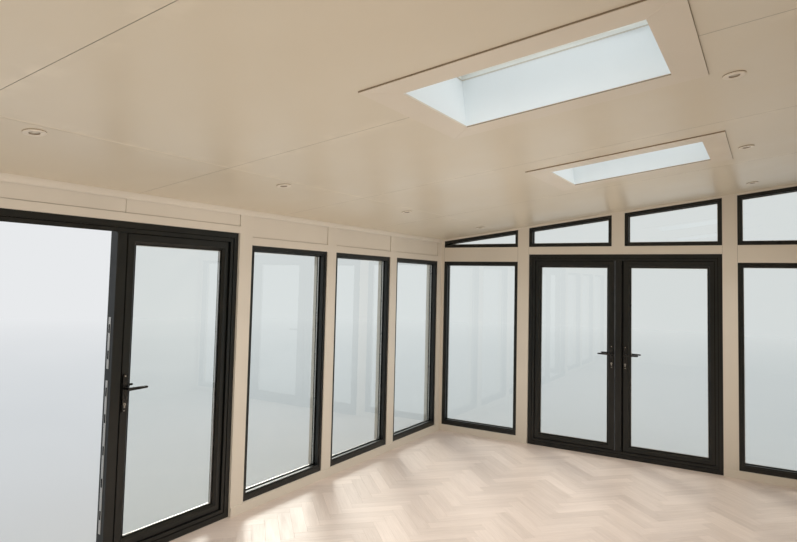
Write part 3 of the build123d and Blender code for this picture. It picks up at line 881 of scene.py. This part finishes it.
def roof_laps_and_flashings():
    """Welded laps of the roof rubber, and its turn-ups and foot strips round the kerbs."""
    low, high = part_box("roof_membrane")
    eaves = (low.y + ROOM_Y) / math.cos(PITCH)
    run = (high.y - low.y) / math.cos(PITCH)
    start = eaves + LAP_LOW_GAP
    end = eaves + run - LAP_HIGH_GAP
    beside = SKYLIGHT_WIDTH / 2 + SKYLIGHT_SIDE_GAP
    beyond = SKYLIGHT_LENGTH / 2 + SKYLIGHT_END_GAP
    bm = bmesh.new()
    count = int((high.x - low.x - LAP_WIDTH) / LAP_SPACING)
    for i in range(1, count + 1):
        x = low.x + i * LAP_SPACING
        spans = [(start, end)]
        if any(abs(x - centre) <= beside for centre in SKYLIGHT_PLACES):
            spans = [(start, SKYLIGHT_DISTANCE - beyond), (SKYLIGHT_DISTANCE + beyond, end)]
        for y0, y1 in spans:
            lap = rectangle(x, x + LAP_WIDTH, y0, y1)
            add_prism(bm, lap, ROOF_TOP, ROOF_TOP + LAP_RISE, LAP_BEVEL, CEILING_PLANE)
    bottom = ROOF_TOP - TURN_UP_GAP
    top = PANEL_TOP + KERB_HEIGHT - TURN_UP_GAP
    foot_top = ROOF_TOP + TURN_UP_THICKNESS
    for centre in SKYLIGHT_PLACES:
        kerb = around_skylight(centre, KERB_MARGIN)
        sheath = around_skylight(centre, KERB_MARGIN + TURN_UP_THICKNESS)
        foot = around_skylight(centre, KERB_MARGIN + FOOT_WIDTH)
        for board in ring_boards(kerb, sheath):
            add_prism(bm, board, bottom, top, 0.0, CEILING_PLANE)
        for board in ring_boards(sheath, foot):
            add_prism(bm, board, ROOF_TOP, foot_top, FOOT_BEVEL, CEILING_PLANE)
    make_piece("roof_laps", bm, [ROOF_RUBBER], "pod")


# Seals, spacer bars, locks and screws

# Windows, as in part.py: frame widths, heights above the floor, and depths behind the room face
WINDOWS_BESIDE_DOORS = 3
FRONT_WINDOW = 0.884
END_WINDOW = 0.872
WINDOW_FACE = 0.038
WINDOW_BASE = 0.054
WINDOW_SILL = 0.066
WINDOW_HEAD = 1.879
UPPER_SILL = 2.035
UPPER_FACE = 0.034
UPPER_GAP = 0.020
GLASS_DEPTH = 0.048
GLASS_THICKNESS = 0.024
SEAL_WIDTH = 0.004
SEAL_DEPTH = 0.004
SPACER_WIDTH = 0.008
SPACER_DEPTH = (0.007, 0.017)


def ring_strips(outline, width):
    """Mitred strips along the inside of a convex outline."""
    inner = inset_polygon(outline, width)
    count = len(outline)
    for i in range(count):
        j = (i + 1) % count
        yield [outline[i], outline[j], inner[j], inner[i]]


def glaze(bm, outline, matrix):
    """Rubber lines on both faces of a pane, and the spacer bar inside it."""
    back = GLASS_DEPTH + GLASS_THICKNESS
    low, high = (GLASS_DEPTH + depth for depth in SPACER_DEPTH)
    for strip in ring_strips(outline, SEAL_WIDTH):
        add_prism(bm, strip, GLASS_DEPTH, GLASS_DEPTH - SEAL_DEPTH, 0.0, matrix)
        add_prism(bm, strip, back, back + SEAL_DEPTH, 0.0, matrix)
    for strip in ring_strips(outline, SPACER_WIDTH):
        add_prism(bm, strip, low, high, 0.0, matrix, 1)


def fixed_openings():
    """Plane and outline of each fixed pane's clear opening."""
    start = HALF_DOOR + POST_WIDTH
    spans = []
    for i in range(WINDOWS_BESIDE_DOORS):
        near = start + i * (FRONT_WINDOW + POST_WIDTH)
        spans.append((FRONT, near, near + FRONT_WINDOW))
        spans.append((FRONT, -near - FRONT_WINDOW, -near))
    spans.append((END, start, start + END_WINDOW))
    spans.append((END, -start - END_WINDOW, -start))
    low = WINDOW_SILL + WINDOW_BASE
    high = WINDOW_HEAD - WINDOW_FACE
    for matrix, x0, x1 in spans:
        yield matrix, rectangle(x0 + WINDOW_FACE, x1 - WINDOW_FACE, low, high)


def sloping_openings():
    """Outline of each upper pane's clear opening on the glazed end's plane."""
    start = HALF_DOOR + POST_WIDTH
    half_post = POST_WIDTH / 2
    bays = (
        (start, start + END_WINDOW),
        (half_post, HALF_DOOR),
        (-HALF_DOOR, -half_post),
        (-start - END_WINDOW, -start),
    )
    eaves = EAVES_Z - FLOOR_Z
    for x0, x1 in bays:
        tops = [eaves + math.tan(PITCH) * (ROOM_Y - x) - UPPER_GAP for x in (x0, x1)]
        corners = [
            Vector((x0, UPPER_SILL)),
            Vector((x1, UPPER_SILL)),
            Vector((x1, tops[1])),
            Vector((x0, tops[0])),
        ]
        yield inset_polygon(corners, UPPER_FACE)


def window_seals():
    """Seals and spacer bars of the fixed windows and the sloping lights."""
    bm = bmesh.new()
    for matrix, outline in fixed_openings():
        glaze(bm, outline, matrix)
    for outline in sloping_openings():
        glaze(bm, outline, END)
    make_piece("window_seals", bm, [SEAL, STEEL], "pod")


JOINT_HALF = 0.0009
JOINT_RISE = 0.0003


def joint_lines():
    """Fine lines of painted shadow in the joints between the posts and the rails of the glazed
    end.
    """
    bm = bmesh.new()
    edges = [
        (HALF_DOOR, DOOR_HEAD),
        (HALF_DOOR + POST_WIDTH, WINDOW_HEAD),
        (HALF_DOOR + POST_WIDTH + END_WINDOW, WINDOW_HEAD),
    ]
    for place, low in edges:
        for x in (-place, place):
            line = rectangle(x - JOINT_HALF, x + JOINT_HALF, low, UPPER_SILL)
            add_prism(bm, line, 0, -JOINT_RISE, 0.0, END)
    make_piece("joint_lines", bm, [JOINT_SHADE], "pod")


def thin_axes(low, high):
    """The level axis across a thin upright box, and the one along it."""
    size = high - low
    thick = 0 if size.x < size.y else 1
    return thick, 1 - thick


def upright_plane(thick, face, side):
    """The plane of an upright face: local X along it, Y up, Z out of it on a side."""
    out = Vector((0, 0, 0))
    out[thick] = side
    across = Vector((0, 0, 0))
    across[1 - thick] = 1
    origin = Vector((0, 0, 0))
    origin[thick] = face
    return basis(origin, across, (0, 0, 1), out)


LOCK_BELOW_TOP = 0.175
LOCK_RADIUS = 0.0085
LOCK_RISE = 0.003
LOCK_TONGUE = rectangle(-0.0045, 0.0045, -0.021, -0.006)
TONGUE_BEVEL = 0.0008
KEYHOLE = rectangle(-0.0009, 0.0009, -0.004, 0.004)
KEYHOLE_RISE = 0.0004
SCREW_INSET = 0.013
SCREW_RADIUS = 0.0042
SCREW_RISE = 0.0008
SCREW_SEGMENTS = 20
SUNK = 0.0005
# A domed head with a sunk middle, as parts of its radius and rise
HEAD_PROFILE = ((1, 0.7), (0.9, 1), (0.55, 1), (0.5, 0.55), (0, 0.5))


def door_hardware(leaf):
    """Lock cylinders and plate screws on both faces of a leaf."""
    low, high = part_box(f"{leaf}_plates")
    # The box holds the plates of both faces, so it is thinner along the leaf than across it
    wide, thick = thin_axes(low, high)
    middle = (low[wide] + high[wide]) / 2
    lock_z = high.z - LOCK_BELOW_TOP
    spots = (
        (lock_z, LOCK_RADIUS, LOCK_RISE),
        (high.z - SCREW_INSET, SCREW_RADIUS, SCREW_RISE),
        (low.z + SCREW_INSET, SCREW_RADIUS, SCREW_RISE),
    )
    key_base = LOCK_RISE / 2
    bm = bmesh.new()
    for side, face in ((-1, low[thick]), (1, high[thick])):
        plane = upright_plane(thick, face, side)
        for z, radius, rise in spots:
            place = plane @ Matrix.Translation((middle, z, 0))
            profile = [(radius, -SUNK)]
            profile += [(radius * r, rise * h) for r, h in HEAD_PROFILE]
            turned_profile(bm, profile, place, SCREW_SEGMENTS)
        lock = plane @ Matrix.Translation((middle, lock_z, 0))
        add_prism(bm, LOCK_TONGUE, -SUNK, LOCK_RISE, TONGUE_BEVEL, lock)
        # Painted shade: the keyhole is a black strip standing for the shade in the keyway
        add_prism(bm, KEYHOLE, key_base, key_base + KEYHOLE_RISE, 0.0, lock, 1)
    make_piece(f"{leaf}_locks", bm, [STEEL, SEAL], f"{leaf}_door")


GLASS_COVER = 0.010
LEAF_SEAL_RISE = 0.003


def leaf_seals(leaf):
    """Rubber lines round the pane of a leaf on both faces, and its spacer bar."""
    low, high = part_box(f"{leaf}_glass")
    thick, wide = thin_axes(low, high)
    outline = rectangle(
        low[wide] + GLASS_COVER,
        high[wide] - GLASS_COVER,
        low.z + GLASS_COVER,
        high.z - GLASS_COVER,
    )
    bm = bmesh.new()
    for side, face in ((-1, low[thick]), (1, high[thick])):
        matrix = upright_plane(thick, face, side)
        for strip in ring_strips(outline, SEAL_WIDTH):
            add_prism(bm, strip, 0, LEAF_SEAL_RISE, 0.0, matrix)
    matrix = upright_plane(thick, low[thick], 1)
    for strip in ring_strips(outline, SPACER_WIDTH):
        add_prism(bm, strip, *SPACER_DEPTH, 0.0, matrix, 1)
    make_piece(f"{leaf}_seals", bm, [SEAL, STEEL], f"{leaf}_door")


FRAME_FACE = 0.036
STOP_DEPTH = 0.022
GASKET_WIDTH = 0.005
FRAME_GASKET_WIDTH = 0.004
GASKET_RISE = 0.0005
# Depth of a leaf's pane behind its room face
LEAF_GLASS_SETBACK = 0.018
# Reach of the gasket beyond the leaf's pane at its hinges, head, foot and meeting edge
HINGE_GASKET = 0.045
TOP_GASKET = 0.053
BOTTOM_GASKET = 0.043
MEETING_GASKET = 0.048
# For each leaf as it rests: the side of its hinges along it, and of its room face across it
GASKET_SIDES = {
    "front_left": (-1, 1),
    "front_right": (1, -1),
    "end_left": (1, 1),
    "end_right": (-1, 1),
}


def stop_gasket(leaf):
    """Rubber line on a leaf's room face, just inside the frame's stop, on three sides."""
    low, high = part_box(f"{leaf}_glass")
    thick, wide = thin_axes(low, high)
    hinge_side, room_side = GASKET_SIDES[leaf]
    bottom = low.z - BOTTOM_GASKET
    top = high.z + TOP_GASKET
    if hinge_side > 0:
        left, right = low[wide] - MEETING_GASKET, high[wide] + HINGE_GASKET
        hinge = rectangle(right - GASKET_WIDTH, right, bottom, top)
    else:
        left, right = low[wide] - HINGE_GASKET, high[wide] + MEETING_GASKET
        hinge = rectangle(left, left + GASKET_WIDTH, bottom, top)
    strips = (
        hinge,
        rectangle(left, right, bottom, bottom + GASKET_WIDTH),
        rectangle(left, right, top - GASKET_WIDTH, top),
    )
    pane = high[thick] if room_side > 0 else low[thick]
    matrix = upright_plane(thick, pane + room_side * LEAF_GLASS_SETBACK, room_side)
    bm = bmesh.new()
    for strip in strips:
        add_prism(bm, strip, 0, GASKET_RISE, 0.0, matrix)
    make_piece(f"{leaf}_gasket", bm, [SEAL], f"{leaf}_door")


def frame_gaskets():
    """Rubber line in the step between each door frame's face and its stop."""
    bm = bmesh.new()
    edge = HALF_DOOR - FRAME_FACE
    outline = rectangle(-edge, edge, FRAME_FACE, DOOR_HEAD - FRAME_FACE)
    for matrix in (FRONT, END):
        for strip in ring_strips(outline, FRAME_GASKET_WIDTH):
            add_prism(bm, strip, STOP_DEPTH, STOP_DEPTH - GASKET_RISE, 0.0, matrix)
    make_piece("frame_gaskets", bm, [SEAL], "pod")


# The leaf's depth is behind the wall's room face
LEAF_DEPTH = 0.035
LEAF_THICKNESS = 0.052
MULLION_HALF = 0.030
GROOVE_WIDTH = 0.016
GROOVE_DEPTH = 0.006
GROOVE_SEAL = 0.0035
GROOVE_SEAL_BEVEL = 0.0012
GROOVE_SEAL_GAP = 0.002


def mullion_seal(leaf, matrix):
    """Black gasket in the grooves beside a left leaf's flying mullion, inside and out."""
    low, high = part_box(f"{leaf}_leaf")
    bottom = low.z + GROOVE_SEAL_GAP - FLOOR_Z
    top = high.z - GROOVE_SEAL_GAP - FLOOR_Z
    outline = rectangle(MULLION_HALF, MULLION_HALF + GROOVE_WIDTH, bottom, top)
    mirrored = matrix @ Matrix.Diagonal((-1, 1, 1, 1))
    bm = bmesh.new()
    inside = LEAF_DEPTH + GROOVE_DEPTH
    outside = LEAF_DEPTH + LEAF_THICKNESS - GROOVE_DEPTH
    for base, side in ((inside, -1), (outside, 1)):
        face = base + side * GROOVE_SEAL
        add_prism(bm, outline, base, face, side * GROOVE_SEAL_BEVEL, mirrored)
    make_piece(f"{leaf}_mullion_seal", bm, [SEAL], f"{leaf}_door")


# Heights of the keeps and their slots are above the floor
KEEP_HALF = 0.010
KEEP_RISE = 0.0016
KEEP_CHAMFER = 0.0006
KEEP_SPANS = ((0.182, 1.040), (1.106, 1.401))
SLOT_HALF = 0.006
SLOT_RISE = 0.0002
SLOT_HEIGHT = 0.05
KEEP_SLOTS = (0.26, 0.44, 0.62, 0.80, 0.95, 1.16, 1.31)


def lock_keeps(leaf):
    """Steel keeps down the free edge of a leaf's mullion, with black strips as painted shade in
    their slots.
    """
    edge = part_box(f"{leaf}_leaf")[1].x
    middle = -ROOM_Y - LEAF_DEPTH - LEAF_THICKNESS / 2
    bm = bmesh.new()
    for z0, z1 in KEEP_SPANS:
        low = (edge, middle - KEEP_HALF, FLOOR_Z + z0)
        high = (edge + KEEP_RISE, middle + KEEP_HALF, FLOOR_Z + z1)
        add_block(bm, low, high, KEEP_CHAMFER)
    # Painted shade: each slot is a black strip standing for the shade inside it
    for z in KEEP_SLOTS:
        low = (edge, middle - SLOT_HALF, FLOOR_Z + z)
        high = (edge + KEEP_RISE + SLOT_RISE, middle + SLOT_HALF, FLOOR_Z + z + SLOT_HEIGHT)
        add_block(bm, low, high, 0.0, 1)
    make_piece(f"{leaf}_keeps", bm, [STEEL, SEAL], f"{leaf}_door")


# Lights, backdrop and camera

STUDIO_HALF = 60
# Distances between which the floor melts into the backdrop
PAPER_FADE = (8, 26)
SKY = linear(228, 238, 250)
SKY_STRENGTH = 0.62

# Distant lamps: name, the direction they stand in, strength, angle in degrees and colour
SUNS = (
    ("key_light", (-0.6, -0.6, 0.5), 1.5, 14, (1.0, 0.96, 0.9)),
    ("fill_light", (0.5, 0.8, 0.9), 0.35, 60, (0.95, 0.97, 1.0)),
)

# Lamps in the room: name, place, size, watts, colour, direction and spread in degrees
WARM = (1.0, 0.98, 0.945)
SOFT = (1.0, 0.99, 0.97)
PLAIN = (1.0, 1.0, 0.99)
ROOM_LIGHTS = (
    ("floor_bounce", (-0.3, 0, FLOOR_Z + 0.05), (7.2, 3.2), 19, WARM, (0, 0, 1), 130),
    ("side_fill", (ROOM_X - 0.05, 0, 2.0), (3.2, 0.9), 16, SOFT, (-1, 0, 0), 110),
    ("rear_fill", (-0.7, ROOM_Y - 0.05, 1.72), (6.4, 0.8), 18.5, SOFT, (0, -1, -0.1), 100),
    ("floor_light", (-1.6, -0.2, FLOOR_Z + 1.95), (4.4, 3.0), 24, PLAIN, (0, 0, -1), 110),
)

# Lamps of each rooflight's shaft: name, height above the ceiling plane, watts, colour,
# direction and spread in degrees
SHAFT_LIGHTS = (
    ("shaft_light", LEDGE_HEIGHT + 0.014, 0.65, (0.95, 1.0, 0.99), (0, 0, -1), 180),
    ("ledge_light", 0, 0.85, (0.98, 1.0, 0.99), (0, 0, 1), 40),
)
SHAFT_LIGHT_MARGIN = -0.03
SENSOR_WIDTH = 36
CLIP_START = 0.02


def shown_ray(tree):
    """One for a ray that shows the background: seen by the camera, in gloss or through glass."""
    path = tree.nodes.new("ShaderNodeLightPath")
    shown = path.outputs["Is Camera Ray"]
    for name in ("Is Glossy Ray", "Is Transmission Ray"):
        shown = math_node(tree, "MAXIMUM", shown, path.outputs[name])
    return shown


def studio_paper():
    """Pale matt floor that keeps the shadow near the object and melts into the backdrop."""
    f = Finish("studio_paper", linear(226, 226, 224), 0.9)
    f.roughness(f.remap(f.noise(0.5), 0.3, 0.7, 0.85, 0.95))
    distance = f.add("ShaderNodeVectorMath", operation="LENGTH")
    f.join(f.place, distance.inputs[0])
    far = f.remap(distance.outputs["Value"], *PAPER_FADE, 0, 1)
    seen = shown_ray(f.tree)
    glow = f.add("ShaderNodeEmission")
    glow.inputs["Color"].default_value = BACKDROP
    blend = f.add("ShaderNodeMixShader")
    f.join(f.math("MULTIPLY", far, seen), blend.inputs[0])
    f.join(f.shader.outputs[0], blend.inputs[1])
    f.join(glow.outputs[0], blend.inputs[2])
    f.join(blend.outputs[0], f.tree.nodes["Material Output"].inputs["Surface"])
    return f.material


def studio():
    """A pale floor, an even pale world and two broad distant lamps."""
    scene = bpy.context.scene
    scene.view_settings.view_transform = "Standard"

    bm = bmesh.new()
    bmesh.ops.create_grid(bm, x_segments=1, y_segments=1, size=STUDIO_HALF)
    data = bpy.data.meshes.new("studio_floor")
    bm.to_mesh(data)
    bm.free()
    ground = bpy.data.objects.new("studio_floor", data)
    scene.collection.objects.link(ground)
    data.materials.append(studio_paper())
    ground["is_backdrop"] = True

    world = bpy.data.worlds.new("studio_world")
    world.use_nodes = True
    scene.world = world
    tree = world.node_tree
    tree.nodes.clear()
    output = tree.nodes.new("ShaderNodeOutputWorld")
    lit = tree.nodes.new("ShaderNodeBackground")
    lit.inputs["Color"].default_value = SKY
    lit.inputs["Strength"].default_value = SKY_STRENGTH
    seen = tree.nodes.new("ShaderNodeBackground")
    seen.inputs["Color"].default_value = BACKDROP
    seen.inputs["Strength"].default_value = 1.0
    mix = tree.nodes.new("ShaderNodeMixShader")
    tree.links.new(shown_ray(tree), mix.inputs[0])
    tree.links.new(lit.outputs[0], mix.inputs[1])
    tree.links.new(seen.outputs[0], mix.inputs[2])
    tree.links.new(mix.outputs[0], output.inputs["Surface"])

    for sun in SUNS:
        add_sun(*sun)


def add_sun(name, towards, strength, angle, colour):
    """A distant lamp with soft edges, standing in a given direction from the object."""
    lamp = bpy.data.lights.new(name, "SUN")
    lamp.energy = strength
    lamp.angle = math.radians(angle)
    lamp.color = colour
    holder = bpy.data.objects.new(name, lamp)
    holder.rotation_euler = Vector(towards).to_track_quat("Z", "Y").to_euler()
    bpy.context.scene.collection.objects.link(holder)


def room_light(name, place, size, watts, colour, aim, spread):
    """A broad soft lamp inside the room, its light kept within a spread in degrees."""
    lamp = bpy.data.lights.new(name, "AREA")
    lamp.shape = "RECTANGLE"
    lamp.size, lamp.size_y = size
    lamp.energy = watts
    lamp.color = colour
    lamp.spread = math.radians(spread)
    holder = bpy.data.objects.new(name, lamp)
    holder.location = place
    holder.rotation_euler = (-Vector(aim)).to_track_quat("Z", "Y").to_euler()
    holder.visible_glossy = False
    holder.visible_camera = False
    bpy.context.scene.collection.objects.link(holder)


def shaft_lights():
    """Soft daylight from just under each rooflight's pane, and its glow back onto the ledge."""
    for i, centre in enumerate(SKYLIGHT_PLACES):
        x0, x1, y0, y1 = around_skylight(centre, SHAFT_LIGHT_MARGIN)
        for name, height, *values in SHAFT_LIGHTS:
            place = CEILING_PLANE @ Vector((centre, SKYLIGHT_DISTANCE, height))
            room_light(f"{name}_{i + 1}", place, (x1 - x0, y1 - y0), *values)


def photo_camera():
    """The camera at the photo's place, turn and lens."""
    towards = Vector(
        (
            -math.cos(CAMERA_YAW) * math.cos(CAMERA_PITCH),
            math.sin(CAMERA_YAW) * math.cos(CAMERA_PITCH),
            math.sin(CAMERA_PITCH),
        )
    )
    level = Vector((math.sin(CAMERA_YAW), math.cos(CAMERA_YAW), 0))
    upright = level.cross(towards)
    right = level * math.cos(CAMERA_ROLL) + upright * math.sin(CAMERA_ROLL)
    up = upright * math.cos(CAMERA_ROLL) - level * math.sin(CAMERA_ROLL)
    data = bpy.data.cameras.new("photo_camera")
    data.sensor_width = SENSOR_WIDTH
    data.lens = FOCAL_PIXELS * SENSOR_WIDTH / PHOTO_WIDTH
    data.shift_y = (AXIS_ROW - PHOTO_HEIGHT / 2) / PHOTO_WIDTH
    data.clip_start = CLIP_START
    camera = bpy.data.objects.new("photo_camera", data)
    turn = Matrix((right, up, -towards)).transposed()
    camera.matrix_world = Matrix.Translation(CAMERA_PLACE) @ turn.to_4x4()
    bpy.context.scene.collection.objects.link(camera)
    bpy.context.scene.camera = camera


dress_cad_nodes()
herringbone_floor()
skylight_trim_boards()
skylight_ledge_covers()
ceiling_light_fittings()
wall_boarding()
roof_laps_and_flashings()
window_seals()
joint_lines()
for leaf in ("front_left", "front_right", "end_left", "end_right"):
    door_hardware(leaf)
    leaf_seals(leaf)
    stop_gasket(leaf)
frame_gaskets()
mullion_seal("front_left", FRONT)
mullion_seal("end_left", END)
lock_keeps("front_left")
studio()
for light in ROOM_LIGHTS:
    room_light(*light)
shaft_lights()
photo_camera()

boxes = {"cad": cad_box, "visual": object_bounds()}
plain = {key: [[float(c) for c in corner] for corner in box] for key, box in boxes.items()}
